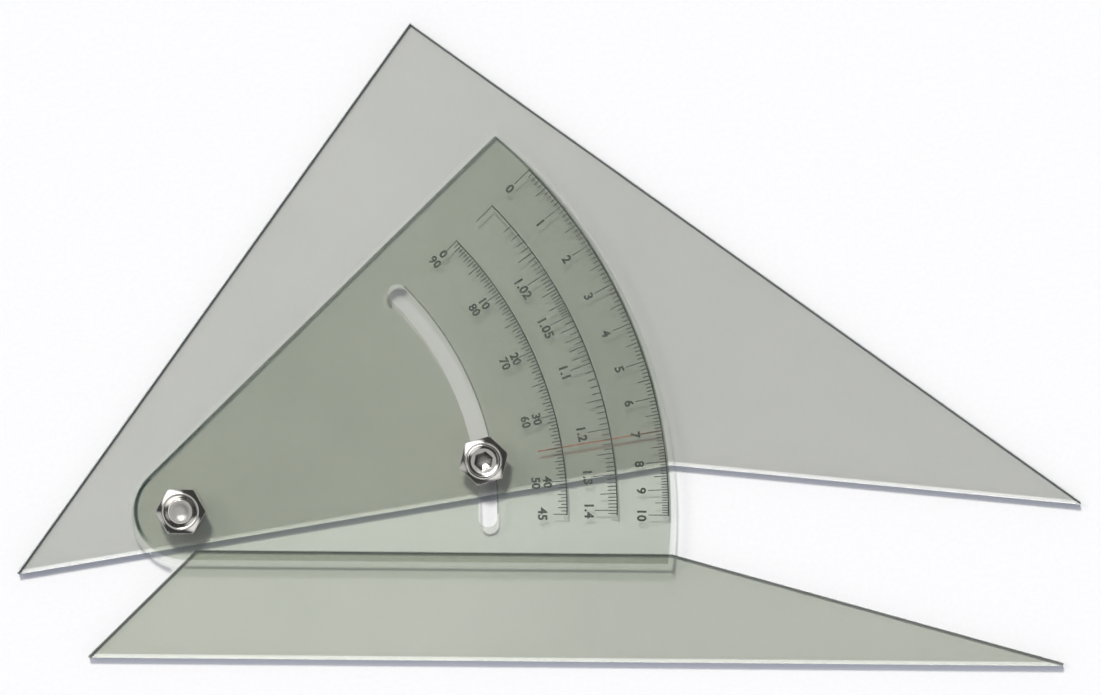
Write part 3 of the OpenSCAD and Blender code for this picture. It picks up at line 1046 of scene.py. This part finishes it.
# %% Pivot screw
PIVOT_HEAD_R, PIVOT_HEAD_T = 5.3, 1.2
HEAD_BREAK = 0.15
SPANNER_R, SPANNER_HOLE, SPANNER_DEPTH = 3.0, 0.6, 0.6
PIVOT_BEVEL = 0.05
PIVOT_END = (
    (PIVOT_R, -0.1), (PIVOT_R, 0.55), (2.84, 0.72), (2.65, 0.74), (2.2, 0.67), (1.7, 0.57), (1.2, 0.46),
    (0.7, 0.39), (0, 0.36),
)

turned(
    "pivot_screw",
    [
        circle(0, 0), circle(PIVOT_HEAD_R - HEAD_BREAK, 0), circle(PIVOT_HEAD_R, HEAD_BREAK),
        circle(PIVOT_HEAD_R, PIVOT_HEAD_T), circle(PIVOT_R, PIVOT_HEAD_T),
        *(circle(radius, NUT_TOP + height) for radius, height in PIVOT_END),
    ],
    PIVOT_AT, 0, PIVOT_BEVEL, "base", NICKEL,
    [drill(0, y, SPANNER_HOLE, -1, SPANNER_DEPTH) for y in (-SPANNER_R, SPANNER_R)])

# %% [markdown]
# ## Clamp screw
# Its head has a raised rim and a dished face round a hexagon socket. The rim's round shoulder is what gives
# the bright and dark rings in the photograph, so it is the profile with the most steps, given as radii and
# depths below the top of the head.

# %% Clamp screw
TIP_GAP, TIP_CHAMFER = 0.4, 0.4
CLAMP_HEAD_R, CLAMP_HEAD_H = 4.6, 3.6
SOCKET_ACROSS, SOCKET_DEPTH, SOCKET_POINT = 4.0, 2.2, 0.35
MOUTH_GROWTH, MOUTH_TOP, MOUTH_END = 0.3, 0.46, 0.62    # the socket's chamfer, and its depths below the head
SOCKET_TURN = 70 + ARM_OPEN
CLAMP_BEVEL = 0.06
HEAD_Z = COLLAR_TOP + RUN_FIT
HEAD_TOP = HEAD_Z + CLAMP_HEAD_H
CLAMP_FACE = (
    (CLAMP_HEAD_R, 0.95), (4.52, 0.62), (4.30, 0.34), (4.04, 0.14), (3.86, 0.06), (3.76, 0.10), (3.22, 0.40),
    (3.05, 0.44),
)

turned(
    "clamp_screw",
    [
        circle(0, TIP_GAP), circle(CLAMP_R - TIP_CHAMFER, TIP_GAP), circle(CLAMP_R, TIP_GAP + TIP_CHAMFER),
        circle(CLAMP_R, HEAD_Z), circle(CLAMP_HEAD_R - HEAD_BREAK, HEAD_Z),
        circle(CLAMP_HEAD_R, HEAD_Z + HEAD_BREAK),
        *(circle(radius, HEAD_TOP - depth) for radius, depth in CLAMP_FACE),
        hexagon(SOCKET_ACROSS + MOUTH_GROWTH, SOCKET_TURN, HEAD_TOP - MOUTH_TOP),
        hexagon(SOCKET_ACROSS, SOCKET_TURN, HEAD_TOP - MOUTH_END),
        hexagon(SOCKET_ACROSS, SOCKET_TURN, HEAD_TOP - SOCKET_DEPTH),
        circle(0, HEAD_TOP - SOCKET_DEPTH - SOCKET_POINT),
    ],
    CLAMP_AT, SOCKET_TURN, CLAMP_BEVEL, "screw", NICKEL)

# %% [markdown]
# ## Clamp insert
# A threaded brass bush pressed into the moving arm from below, which the clamp screw pulls on. It is seen
# only through the sheets.

# %% Clamp insert
INSERT_R, INSERT_FLANGE_R, INSERT_FLANGE_T = 3.5, 5.2, 1.0
INSERT_BORE = CLAMP_R + RUN_FIT
INSERT_BEVEL = 0.08

turned(
    "clamp_insert",
    [
        circle(INSERT_BORE, 0), circle(INSERT_FLANGE_R, 0), circle(INSERT_FLANGE_R, INSERT_FLANGE_T),
        circle(INSERT_R, INSERT_FLANGE_T), circle(INSERT_R, SHEET_T), circle(INSERT_BORE, SHEET_T),
    ],
    CLAMP_AT, 0, INSERT_BEVEL, "arm", BRASS)
